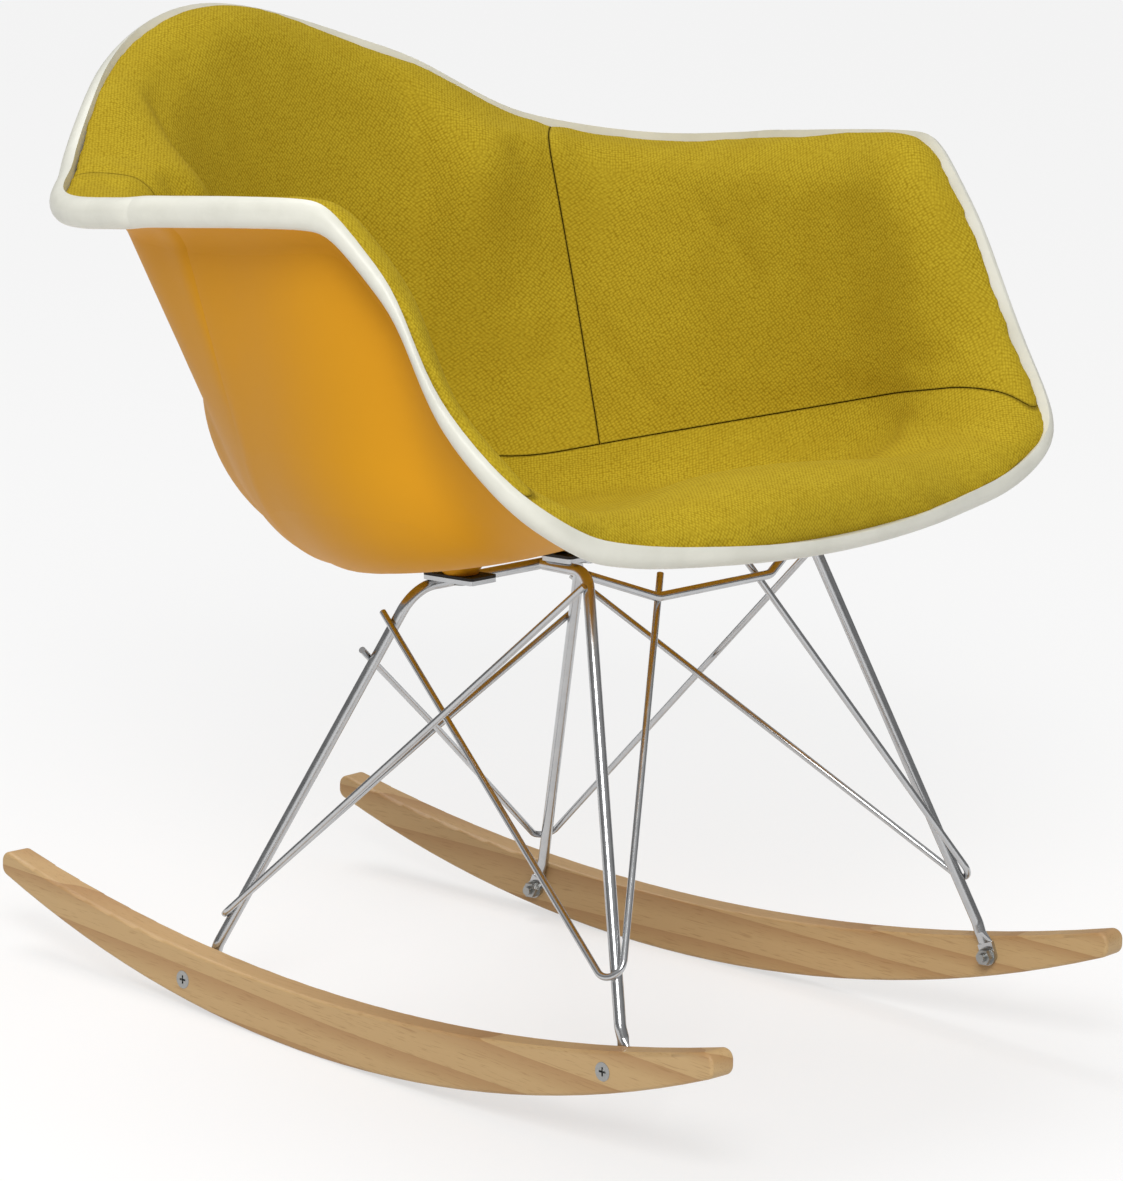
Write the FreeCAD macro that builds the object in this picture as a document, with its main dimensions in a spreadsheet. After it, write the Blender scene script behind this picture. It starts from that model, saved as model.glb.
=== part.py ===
import FreeCAD, Part
import Sketcher
import os
from math import atan, atan2, cos, degrees, exp, hypot, log, radians, sin, sqrt, tan

# Moulded rocking armchair: an upholstered plastic shell on a welded wire base with two wooden rockers.
# Millimetres. X is across the chair (+X on the sitter's left), the chair faces -Y, +Z is up.
# The origin is on the floor under the middle of the chair.

sizes = {
    # wooden rockers
    "rocker_length": 690,
    "rocker_depth": 40,
    "rocker_thickness": 21,
    "rocker_radius": 950.8,
    "rocker_top_radius": 1434.7,
    "rocker_track": 377.6,
    "rocker_toe": 2.97,
    "rocker_pitch": 1.44,
    "rocker_middle": 1.4,
    "rocker_end_round": 7,
    "rocker_edge_round": 2.5,
    # the empty chair leans back until its weight is over the rockers' lowest point
    "rest_lean": 3.87,
    # screws, washers and nuts that hold the legs to the rockers
    "rear_bolt_reach": 150.3,
    "rear_bolt_height": 14,
    "front_bolt_reach": 250.9,
    "front_bolt_height": 15.1,
    "bolt_size": 6,
    "bolt_length": 34,
    "bolt_head": 12.5,
    "bolt_clearance": 0.2,
    "recess_length": 6,
    "recess_width": 1.4,
    "recess_depth": 2.2,
    "washer_size": 13,
    "washer_thickness": 1.6,
    "nut_size": 10,
    "nut_height": 5,
    # wires
    "leg_wire": 8,
    "cross_wire": 6.35,
    "brace_wire": 4.76,
    "weld_sink": 0.2,
    "butt_sink": 0.8,
    # flattened feet of the legs
    "foot_width": 12,
    "foot_thickness": 3,
    "foot_flat": 9,
    "foot_ease": 8,
    "foot_rise": 24,
    "rear_foot_lean": 22.4,
    "front_foot_lean": 20.2,
    "foot_bend": 14,
    # tops of the legs
    "rear_corner_x": 84.7,
    "rear_bar_y": 31.2,
    "rear_corner_bend": 25,
    "front_corner_x": 112.6,
    "front_corner_y": -149,
    "front_corner_bend": 16,
    "front_run": 44,
    "front_run_turn": 8,
    # front cross wire
    "dip_half_width": 57.6,
    "dip_y": -162,
    "dip_drop": 22,
    "dip_bend": 14,
    # thin braces
    "brace_bend": 10,
    "front_brace_foot": 95,
    "front_brace_back": 278,
    "front_brace_back_end": 10,
    "front_brace_dip": 6,
    "front_brace_dip_end": 18,
    "rear_brace_foot": 71,
    "rear_brace_front": 328,
    "rear_brace_front_end": 2,
    "rear_brace_back": 252,
    "rear_brace_back_end": 11,
    "crossing_bend": 400,
    # mounting hardware under the shell
    "rear_mount_x": 59.6,
    "front_mount_y": -122,
    "mount_reach": 19,
    "plate_length": 46,
    "plate_width": 26,
    "plate_thickness": 3,
    "plate_overhang": 5,
    "plate_round": 3,
    "spacer_thickness": 2,
    "mount_screw": 5,
    "mount_screw_head": 9.5,
    "socket_size": 3.3,
    "socket_depth": 1.8,
    "mount_head_height": 3,
    "mount_screw_grip": 6,
    "insert_wall": 2.5,
    "insert_length": 8,
    "thread_clearance": 0.1,
    "boss_bottom": 12,
    "boss_top": 21,
    # height of the middle of the seat, and of the mounting plates from there
    "seat_height": 334,
    "rear_mount_drop": 22,
    "front_mount_rise": 13,
    # layers of the seat, from the fabric outwards
    "pad_thickness": 12,
    "pad_clearance": 0.6,
    "shell_thickness": 5,
    # upright slices of the shell fan out from this middle
    "middle_y": 60,
    "middle_radius": 30,
    "middle_tilt": 9,
    # rim of the fabric: direction from the front, reach from the middle, rise above the seat's middle
    "lip_reach": 333,
    "lip_rise": 29,
    "front_angle": 24,
    "front_reach": 353,
    "front_rise": 38,
    "bolster_angle": 34,
    "bolster_reach": 378,
    "bolster_rise": 49,
    "corner_angle": 41,
    "corner_reach": 398,
    "corner_rise": 75,
    "arm_foot_angle": 49,
    "arm_foot_reach": 382,
    "arm_foot_rise": 131,
    "arm_nose_angle": 56,
    "arm_nose_reach": 357.5,
    "arm_nose_rise": 216,
    "arm_front_angle": 64,
    "arm_front_reach": 343.5,
    "arm_front_rise": 257,
    "arm_middle_angle": 84,
    "arm_middle_reach": 312,
    "arm_middle_rise": 251,
    "arm_back_angle": 104,
    "arm_back_reach": 306,
    "arm_back_rise": 243,
    "wing_angle": 122,
    "wing_reach": 272,
    "wing_rise": 256,
    "shoulder_angle": 145,
    "shoulder_reach": 251,
    "shoulder_rise": 306,
    "crest_reach": 254,
    "crest_rise": 345,
    # form of a slice: gently rising floor, bend up to the wall, shoulder, roll down to the rim
    "lip_floor": 105,
    "lip_climb": 15,
    "lip_bend": 500,
    "lip_shoulder": 260,
    "lip_share": 0.8,
    "lip_roll": 42,
    "lip_end": -85,
    "corner_form_angle": 48,
    "corner_floor": 226,
    "corner_climb": 7.5,
    "corner_bend": 64,
    "corner_shoulder": 40,
    "corner_share": 0.6,
    "corner_roll": 26,
    "corner_end": -40,
    "arm_floor": 92,
    "arm_climb": 4,
    "arm_bend": 105,
    "arm_shoulder": 50,
    "arm_share": 0.35,
    "arm_roll": 50,
    "arm_end": -12,
    "wing_form_angle": 120,
    "wing_floor": 24,
    "wing_climb": -4,
    "wing_bend": 103,
    "wing_shoulder": 32,
    "wing_share": 0.16,
    "wing_roll": 180,
    "wing_end": -5,
    "flank_form_angle": 146,
    "flank_floor": 22,
    "flank_climb": -5,
    "flank_bend": 105,
    "flank_shoulder": 330,
    "flank_share": 0.78,
    "flank_roll": 30,
    "flank_end": -10,
    "crest_floor": 16,
    "crest_climb": -8,
    "crest_bend": 110,
    "crest_shoulder": 500,
    "crest_share": 0.85,
    "crest_roll": 28,
    "crest_end": -30,
    # seams between the panels of the upholstery
    "seam_share": 0.7,
    "seam_gap": 0.6,
    "seam_round": 5,
    "corner_seam": 47.5,
    "back_seam": 113,
    "seam_border": 14,
    "seam_drop": 4,
    # edge trim
    "trim_lap": 1.5,
    "trim_bulge": 11,
    "trim_clearance": 0.6,
}

doc = FreeCAD.newDocument("Chair")
sheet = doc.addObject("Spreadsheet::Sheet", "Sizes")
for row, (name, value) in enumerate(sizes.items(), start=1):
    sheet.set(f"A{row}", name)
    sheet.set(f"B{row}", str(value))
    sheet.setAlias(f"B{row}", name)
doc.recompute()

vec = FreeCAD.Vector
up = vec(0, 0, 1)
sides = {"left": 1, "right": -1}


def size(name):
    return float(sheet.get(name))


def unit(vector):
    return vector / vector.Length


def mirrored(shape):
    return shape.mirror(vec(0, 0, 0), vec(1, 0, 0))


def feature(label, shape):
    made = doc.addObject("Part::Feature", label)
    made.Label = label
    made.Shape = shape
    return made


# Slices of the shell

def blend(keys, angle):
    # a smooth curve through (angle, value) keys from 0 to 180 degrees, even about both ends
    angle = abs(angle) % 360
    angle = min(angle, 360 - angle)
    before = [(-place, value) for place, value in reversed(keys[1:3])]
    after = [(360 - place, value) for place, value in reversed(keys[-3:-1])]
    full = before + keys + after
    index = 2
    while full[index + 1][0] < angle:
        index += 1

    def slope(here):
        (a0, v0), (a1, v1), (a2, v2) = full[here - 1:here + 2]
        left = (v1 - v0) / (a1 - a0)
        right = (v2 - v1) / (a2 - a1)
        if left * right <= 0:
            return 0
        return 2 * left * right / (left + right)

    (start, low), (end, high) = full[index:index + 2]
    step = end - start
    part = (angle - start) / step
    return (low * (1 + 2 * part) * (1 - part) ** 2
            + high * part ** 2 * (3 - 2 * part)
            + slope(index) * step * part * (1 - part) ** 2
            - slope(index + 1) * step * part ** 2 * (1 - part))


rim_stations = ["front", "bolster", "corner", "arm_foot", "arm_nose", "arm_front", "arm_middle",
                "arm_back", "wing", "shoulder"]


def rim_keys(what):
    keys = [(0, size(f"lip_{what}"))]
    for station in rim_stations:
        keys.append((size(f"{station}_angle"), size(f"{station}_{what}")))
    keys.append((180, size(f"crest_{what}")))
    return keys


def form_keys(what):
    return [(0, size(f"lip_{what}")),
            (size("corner_form_angle"), size(f"corner_{what}")),
            (size("arm_middle_angle"), size(f"arm_{what}")),
            (size("wing_form_angle"), size(f"wing_{what}")),
            (size("flank_form_angle"), size(f"flank_{what}")),
            (180, size(f"crest_{what}"))]


def radius_at(what, angle):
    # radii differ by a factor of ten round the shell, so their logarithms are blended
    keys = [(place, log(value)) for place, value in form_keys(what)]
    return exp(blend(keys, angle))


def turn(start, end, radius):
    # the shift along an arc from one heading to another: (outwards, upwards)
    if end > start:
        return radius * (sin(end) - sin(start)), radius * (cos(start) - cos(end))
    return radius * (sin(start) - sin(end)), radius * (cos(end) - cos(start))


slices = {}
bends = {}


def slice_at(angle):
    # the fabric's line in one upright slice, as corner points (outwards, upwards, heading)
    # and the middle points of its arcs
    if angle in slices:
        return slices[angle]
    tilt = tan(radians(size("middle_tilt"))) * cos(radians(angle))
    first = atan(tilt)
    start = (size("middle_radius"), size("seat_height") + size("middle_radius") * tilt)
    end = (blend(rim_keys("reach"), angle), size("seat_height") + blend(rim_keys("rise"), angle))
    floor = blend(form_keys("floor"), angle)
    climb = radians(blend(form_keys("climb"), angle))
    flat = floor / (climb - first)
    share = blend(form_keys("share"), angle)
    last = radians(blend(form_keys("end"), angle))
    bend = radius_at("bend", angle)
    shoulder = radius_at("shoulder", angle)
    roll = radius_at("roll", angle)

    def wall_left(wall):
        ease = last + share * (wall - last)
        pieces = [turn(first, climb, flat), turn(climb, wall, bend),
                  turn(wall, ease, shoulder), turn(ease, last, roll)]
        across = end[0] - start[0] - sum(piece[0] for piece in pieces)
        rise = end[1] - start[1] - sum(piece[1] for piece in pieces)
        return across, rise

    # the wall's heading is the one that closes the line
    def lean(wall):
        across, rise = wall_left(wall)
        return rise * cos(wall) - across * sin(wall)

    low = climb + radians(0.5)
    high = low
    while lean(high) > 0 and high < radians(110):
        low = high
        high += radians(0.5)
    for _ in range(30):
        wall = (low + high) / 2
        if lean(wall) > 0:
            low = wall
        else:
            high = wall
    across, rise = wall_left(wall)
    length = across * cos(wall) + rise * sin(wall)
    seam = climb + size("seam_share") * (wall - climb)
    ease = last + share * (wall - last)

    corners = [(start[0], start[1], first)]
    middles = []

    def straight(run):
        outwards, upwards, heading = corners[-1]
        corners.append((outwards + run * cos(heading), upwards + run * sin(heading), heading))
        middles.append(None)

    def arc(heading, radius):
        outwards, upwards, before = corners[-1]
        half = (before + heading) / 2
        shift = turn(before, half, radius)
        middles.append((outwards + shift[0], upwards + shift[1], half))
        shift = turn(before, heading, radius)
        corners.append((outwards + shift[0], upwards + shift[1], heading))

    arc(climb, flat)
    arc(seam, bend)
    arc(wall, bend)
    straight(length)
    arc(ease, shoulder)
    arc(last, roll)
    slices[angle] = (corners, middles)
    bends[angle] = (bend, seam)
    return slices[angle]


def place(angle, outwards, upwards):
    # a point of the slice at this angle from the front, in the chair's own frame
    turned = radians(angle)
    return vec(outwards * sin(turned), size("middle_y") - outwards * cos(turned), upwards)


def sunk(angle, corner, depth):
    # a corner of the slice moved square to the fabric, towards the outside of the shell
    outwards, upwards, heading = corner
    return place(angle, outwards + depth * sin(heading), upwards - depth * cos(heading))


def line_points(angle, depth, first, last):
    # the points of the slice's line at this depth, from one corner to another
    corners, middles = slice_at(angle)
    points = [sunk(angle, corners[first], depth)]
    if first == 0:
        level = corners[0][1] - depth / cos(radians(size("middle_tilt")))
        points = [place(angle, corners[0][0], level)]
    for index in range(first, last):
        middle = middles[index]
        points.append(None if middle is None else sunk(angle, middle, depth))
        points.append(sunk(angle, corners[index + 1], depth))
    return points


def edges_through(points):
    # every second point may be the middle of an arc, or None for a straight line
    edges = []
    for index in range(0, len(points) - 1, 2):
        start, middle, end = points[index:index + 3]
        if middle is None:
            edges.append(Part.LineSegment(start, end).toShape())
        else:
            edges.append(Part.Arc(start, middle, end).toShape())
    return edges


def layer_section(angle, top, bottom, first, last):
    # closed outline of a layer between two depths
    above = line_points(angle, top, first, last)
    below = line_points(angle, bottom, first, last)
    outline = above + [None] + below[::-1] + [None, above[0]]
    return Part.Wire(edges_through(outline))


def slice_angles(start, end):
    # the ends, and between them the same slices for every layer, closer together at the front corners
    fine = slice_step / 2
    closest = fine * 0.45
    angles = [start]
    for index in range(round(-180 / fine), round(360 / fine) + 1):
        angle = index * fine
        turned = min(abs(angle), 360 - abs(angle))
        at_corner = size("front_angle") < turned < size("arm_front_angle")
        if (at_corner or index % 2 == 0) and start + closest < angle < end - closest:
            angles.append(angle)
    return angles + [end]


pad_back = size("pad_thickness")
shell_inside = pad_back + size("pad_clearance")
shell_outside = shell_inside + size("shell_thickness")
slice_step = 5
line_steps = 300
corner_seam = size("corner_seam")
back_seam = size("back_seam")


def plugged(ring):
    # closes the round hole in the middle with a flat disc above and below
    reach = size("middle_radius")
    walls = []
    others = []
    for face in ring.Faces:
        gap = max(abs(hypot(vertex.X, vertex.Y - size("middle_y")) - reach) for vertex in face.Vertexes)
        if gap < 0.01:
            walls.append(face)
        else:
            others.append(face)
    rims = []
    for wall in walls:
        for edge in wall.Edges:
            upright = abs(edge.Vertexes[0].X - edge.Vertexes[-1].X) < 0.01
            upright = upright and abs(edge.Vertexes[0].Y - edge.Vertexes[-1].Y) < 0.01
            if not upright or len(edge.Vertexes) == 1:
                rims.append(edge)
    discs = [Part.Face(Part.Wire(group)) for group in Part.sortEdges(rims)]
    skin = Part.makeShell(others + discs)
    skin.sewShape()
    solid = Part.makeSolid(skin)
    if solid.Volume < 0:
        solid.reverse()
    return solid


def ring_of(section):
    # a closed loop round the chair, lofted as a front and a rear half
    halves = []
    for start in (-90, 90):
        sections = [section(angle) for angle in slice_angles(start, start + 180)]
        halves.append(Part.makeLoft(sections, True, False))
    return halves[0].fuse(halves[1])


def shell_section(angle):
    return layer_section(angle, shell_inside, shell_outside, 0, 6)


def on_bend(angle, heading, depth):
    # a point of the bend below the seam, at this heading and depth
    outwards, upwards, first = slice_at(angle)[0][1]
    bend, seam = bends[angle]
    shift = turn(first, heading, bend)
    return sunk(angle, (outwards + shift[0], upwards + shift[1], heading), depth)


def seam_edge(angle, way, drop):
    # the rounded edge of a panel at the seam, from the fabric down to the back of the pad
    # way is -1 for the panel below the seam and 1 for the one above it
    slice_at(angle)
    bend, seam = bends[angle]
    rounding = size("seam_round")
    face = seam + way * size("seam_gap") / 2 / bend
    inner = face + way * rounding / bend
    middle = inner - way * rounding / sqrt(2) / bend
    return [on_bend(angle, inner, drop),
            on_bend(angle, middle, drop + rounding * (1 - 1 / sqrt(2))),
            on_bend(angle, face, drop + rounding),
            None,
            on_bend(angle, face, pad_back)]


def seat_front_section(angle):
    return layer_section(angle, 0, pad_back, 0, 6)


def seat_rear_section(angle):
    slice_at(angle)
    bend, seam = bends[angle]
    first = slice_at(angle)[0][1][2]
    edge = seam_edge(angle, -1, 0)
    inner = seam - (size("seam_gap") / 2 + size("seam_round")) / bend
    face = seam - size("seam_gap") / 2 / bend
    above = line_points(angle, 0, 0, 1) + [on_bend(angle, (first + inner) / 2, 0)]
    below = line_points(angle, pad_back, 0, 1) + [on_bend(angle, (first + face) / 2, pad_back)]
    outline = above + edge + below[::-1] + [None, above[0]]
    return Part.Wire(edges_through(outline))


def wall_section(angle, drop):
    # a panel of the back or of an arm, from the seam up to the rim
    slice_at(angle)
    bend, seam = bends[angle]
    wall = slice_at(angle)[0][3][2]
    edge = seam_edge(angle, 1, drop)
    inner = seam + (size("seam_gap") / 2 + size("seam_round")) / bend
    face = seam + size("seam_gap") / 2 / bend
    above = [on_bend(angle, (inner + wall) / 2, drop)] + line_points(angle, drop, 3, 6)
    below = [on_bend(angle, (face + wall) / 2, pad_back)] + line_points(angle, pad_back, 3, 6)
    outline = edge[::-1] + above + [None] + below[::-1] + [edge[-1]]
    return Part.Wire(edges_through(outline))


def panel(start, end):
    # a panel between two upright seams, with its crown falling off towards both
    border = degrees(size("seam_border") / size("arm_middle_reach"))
    gap = degrees(size("seam_gap") / 2 / size("arm_middle_reach"))
    start += gap
    end -= gap
    steps = [border * share for share in (0, 0.12, 0.35, 0.65)]
    angles = [start + step for step in steps]
    angles += slice_angles(start + border, end - border)
    angles += [end - step for step in steps[::-1]]
    sections = []
    for angle in angles:
        edge = min(angle - start, end - angle)
        share = 1 - min(1, edge / border)
        sections.append(wall_section(angle, size("seam_drop") * (1 - sqrt(1 - share ** 2))))
    return Part.makeLoft(sections, True, False)


def seat_pad():
    edge = corner_seam - degrees(size("seam_gap") / 2 / size("corner_reach"))
    front = [seat_front_section(angle) for angle in slice_angles(-edge, edge)]
    rear = [seat_rear_section(angle) for angle in slice_angles(edge, 360 - edge)]
    pad = Part.makeLoft(front, True, False).fuse(Part.makeLoft(rear, True, False))
    return plugged(pad)


def trim_section(angle):
    outwards, upwards, heading = slice_at(angle)[0][6]
    gap = size("trim_clearance")
    base = (outwards + gap * cos(heading), upwards + gap * sin(heading), heading)
    bulge = gap + size("trim_bulge")
    crest = (outwards + bulge * cos(heading), upwards + bulge * sin(heading), heading)
    top = sunk(angle, base, -size("trim_lap"))
    bottom = sunk(angle, base, shell_outside + size("trim_lap"))
    middle = sunk(angle, crest, shell_outside / 2)
    return Part.Wire(edges_through([top, middle, bottom, None, top]))


# Bosses under the shell, where the base is screwed on

def height_at(across, along, depth):
    # height of a layer's underside over a point of the floor
    angle = degrees(atan2(across, size("middle_y") - along))
    reach = hypot(across, along - size("middle_y"))
    line = Part.Wire(edges_through(line_points(angle, depth, 0, 4))).discretize(line_steps)
    near = [(hypot(point.x, point.y - size("middle_y")), point.z) for point in line]
    for (first, low), (second, high) in zip(near, near[1:]):
        if first <= reach <= second:
            return low + (high - low) * (reach - first) / (second - first)
    return near[-1][1]


rear_level = size("seat_height") - size("rear_mount_drop")
front_level = size("seat_height") + size("front_mount_rise")
under_plate = size("spacer_thickness") + size("plate_thickness")
leg_radius = size("leg_wire") / 2
rear_bar_z = rear_level - under_plate - leg_radius + size("weld_sink")
front_run_z = front_level - under_plate - leg_radius + size("weld_sink")
run_way = vec(-sin(radians(size("front_run_turn"))), cos(radians(size("front_run_turn"))), 0)
run_x = (size("front_corner_x") + run_way.x / run_way.y
         * (size("front_mount_y") - size("front_corner_y")))

# the four mounts: the screw's axis at the boss's lower face, and the way to the wire beside it
mounts = []
for side in sides.values():
    rear = vec(side * size("rear_mount_x"), size("rear_bar_y") - size("mount_reach"), rear_level)
    mounts.append((rear, vec(0, 1, 0)))
    front = vec(side * (run_x - size("mount_reach")), size("front_mount_y"), front_level)
    mounts.append((front, vec(side, 0, 0)))


def circle_wire(radius, centre, normal):
    circle = Part.Wire(Part.makeCircle(radius))
    circle.Placement = FreeCAD.Placement(centre, FreeCAD.Rotation(up, normal))
    return circle


def boss(centre):
    depth = (shell_inside + shell_outside) / 2
    reach = size("boss_top") / 2

    def slope(shift):
        ahead = height_at(centre.x + shift.x, centre.y + shift.y, depth)
        behind = height_at(centre.x - shift.x, centre.y - shift.y, depth)
        return (ahead - behind) / 2 / reach

    normal = unit(vec(-slope(vec(reach, 0, 0)), -slope(vec(0, reach, 0)), 1))
    top = vec(centre.x, centre.y, height_at(centre.x, centre.y, depth))
    low = circle_wire(size("boss_bottom"), centre, up)
    high = circle_wire(size("boss_top"), top, normal)
    return Part.makeLoft([low, high], True, True)


insert_outer = size("mount_screw") / 2 + size("thread_clearance") + size("insert_wall")


def seat_shell():
    shell = plugged(ring_of(shell_section))
    for centre, way in mounts:
        shell = shell.fuse(boss(centre))
    for centre, way in mounts:
        shell = shell.cut(Part.makeCylinder(insert_outer, size("insert_length"), centre))
    return shell


feature("seat_shell", seat_shell())
feature("seat_pad", seat_pad())
feature("back_pad", panel(back_seam, 360 - back_seam))
left_arm = panel(corner_seam, back_seam)
feature("left_arm_pad", left_arm)
feature("right_arm_pad", mirrored(left_arm))
feature("edge_trim", ring_of(trim_section))


# Small repeated hardware: one pattern piece each, bound to the sizes, and copies at every place

def bound(kind, name, **expressions):
    made = doc.addObject(kind, name)
    for prop, text in expressions.items():
        made.setExpression(prop, text)
    return made


def joined(kind, name, first, second):
    made = doc.addObject(kind, name)
    made.Base = first
    made.Tool = second
    return made


def lowered(made, height):
    # moves a pattern piece along its own axis
    made.setExpression(".Placement.Base.z", height)
    return made


def copies(label, pattern, places):
    doc.recompute()
    placed = []
    for spot in places:
        copy = pattern.Shape.copy()
        copy.Placement = spot.multiply(pattern.Placement)
        placed.append(copy)
    return feature(label, Part.Compound(placed))


def framed(origin, outward, along):
    # a place whose Z points outward and whose Y follows along
    across = along.cross(outward)
    return FreeCAD.Placement(origin, FreeCAD.Rotation(across, along, outward, "ZYX"))


# every flat piece, its screw and its insert turn with the way to the wire
mount_places = [framed(centre, up, up.cross(way)) for centre, way in mounts]

insert_body = bound("Part::Cylinder", "InsertBody", Height="Sizes.insert_length",
                    Radius="Sizes.mount_screw / 2 + Sizes.thread_clearance + Sizes.insert_wall")
insert_bore = bound("Part::Cylinder", "InsertBore", Height="Sizes.insert_length",
                    Radius="Sizes.mount_screw / 2 + Sizes.thread_clearance")
copies("threaded_inserts", joined("Part::Cut", "Insert", insert_body, insert_bore), mount_places)


def flat_piece(name, thickness):
    # a plate whose hole is at its own origin, and which reaches along X over the wire beside it
    body = doc.addObject("PartDesign::Body", name)
    plane = [item for item in body.Origin.OriginFeatures if item.Role == "XY_Plane"][0]
    sketch = body.newObject("Sketcher::SketchObject", name + "Outline")
    sketch.AttachmentSupport = [(plane, "")]
    sketch.MapMode = "FlatFace"
    outer = size("mount_reach") + size("plate_overhang")
    inner = outer - size("plate_length")
    half = size("plate_width") / 2
    corners = [vec(inner, -half, 0), vec(outer, -half, 0), vec(outer, half, 0), vec(inner, half, 0)]
    for start, end in zip(corners, corners[1:] + corners[:1]):
        sketch.addGeometry(Part.LineSegment(start, end))
    sketch.addGeometry(Part.Circle(vec(0, 0, 0), up, size("mount_screw") / 2))
    for index in range(4):
        sketch.addConstraint(Sketcher.Constraint("Coincident", index, 2, (index + 1) % 4, 1))
    for index in (0, 2):
        sketch.addConstraint(Sketcher.Constraint("Horizontal", index))
        sketch.addConstraint(Sketcher.Constraint("Vertical", index + 1))
    sketch.addConstraint(Sketcher.Constraint("Coincident", 4, 3, -1, 1))
    named = {
        "outer": (Sketcher.Constraint("DistanceX", -1, 1, 0, 2, outer),
                  "Sizes.mount_reach + Sizes.plate_overhang"),
        "length": (Sketcher.Constraint("DistanceX", 0, 1, 0, 2, size("plate_length")),
                   "Sizes.plate_length"),
        "width": (Sketcher.Constraint("DistanceY", 1, 1, 1, 2, 2 * half), "Sizes.plate_width"),
        "middle": (Sketcher.Constraint("DistanceY", -1, 1, 1, 2, half), "Sizes.plate_width / 2"),
        "hole": (Sketcher.Constraint("Radius", 4, size("mount_screw") / 2),
                 "Sizes.mount_screw / 2 + Sizes.bolt_clearance"),
    }
    for title, (constraint, text) in named.items():
        index = sketch.addConstraint(constraint)
        sketch.renameConstraint(index, title)
        sketch.setExpression(f"Constraints.{title}", text)
    pad = body.newObject("PartDesign::Pad", name + "Pad")
    pad.Profile = sketch
    pad.setExpression("Length", thickness)
    pad.Reversed = True
    doc.recompute()
    upright = []
    for index, edge in enumerate(pad.Shape.Edges, start=1):
        if edge.Curve.TypeId == "Part::GeomLine" and abs(edge.tangentAt(edge.FirstParameter).z) > 0.9:
            upright.append(f"Edge{index}")
    corner = body.newObject("PartDesign::Fillet", name + "Corners")
    corner.Base = (pad, upright)
    corner.setExpression("Radius", "Sizes.plate_round")
    return body


spacer = flat_piece("Spacer", "Sizes.spacer_thickness")
copies("spacer_pads", spacer, mount_places)
plate = flat_piece("Plate", "Sizes.plate_thickness")
below_spacer = [FreeCAD.Placement(vec(0, 0, -size("spacer_thickness")), FreeCAD.Rotation()).multiply(spot)
                for spot in mount_places]
copies("mount_plates", plate, below_spacer)

screw_shank = bound("Part::Cylinder", "ScrewShank", Radius="Sizes.mount_screw / 2",
                    Height="Sizes.mount_screw_grip + Sizes.spacer_thickness + Sizes.plate_thickness")
lowered(screw_shank, "-Sizes.spacer_thickness - Sizes.plate_thickness")
screw_head = bound("Part::Cylinder", "ScrewHead", Radius="Sizes.mount_screw_head / 2",
                   Height="Sizes.mount_head_height")
lowered(screw_head, "-Sizes.spacer_thickness - Sizes.plate_thickness - Sizes.mount_head_height")
screw_socket = bound("Part::Prism", "ScrewSocket", Circumradius="Sizes.socket_size / 2",
                     Height="Sizes.socket_depth")
lowered(screw_socket, "-Sizes.spacer_thickness - Sizes.plate_thickness - Sizes.mount_head_height")
mount_screw = joined("Part::Cut", "MountScrew", joined("Part::Fuse", "ScrewBlank", screw_shank, screw_head),
                     screw_socket)
copies("mount_screws", mount_screw, mount_places)


# Wooden rockers

def rocker_place(side):
    # the rocker's own X runs along it to the rear and its origin is the middle of its lower edge
    tipped = FreeCAD.Rotation(vec(1, 0, 0), size("rocker_pitch"))
    toed = FreeCAD.Rotation(up, side * size("rocker_toe"))
    lengthwise = FreeCAD.Rotation(up, 90)
    low = size("rocker_radius") * (1 - cos(radians(size("rocker_pitch"))))
    middle = vec(side * size("rocker_track") / 2, size("rocker_middle"), low)
    return FreeCAD.Placement(middle, toed.multiply(tipped).multiply(lengthwise))


def bolt_spot(end):
    # a bolt's place in the rocker's own frame: along it, and up
    along = size(f"{end}_bolt_reach") * (1 if end == "rear" else -1)
    lower_edge = size("rocker_radius") - sqrt(size("rocker_radius") ** 2 - along ** 2)
    return along, lower_edge + size(f"{end}_bolt_height")


def bolt_place(side, end):
    # Z points out of the rocker's outer face, Y up
    spot = rocker_place(side)
    along, height = bolt_spot(end)
    origin = spot.multVec(vec(along, -side * size("rocker_thickness") / 2, height))
    outward = spot.Rotation.multVec(vec(0, -side, 0))
    return framed(origin, outward, up)


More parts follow.
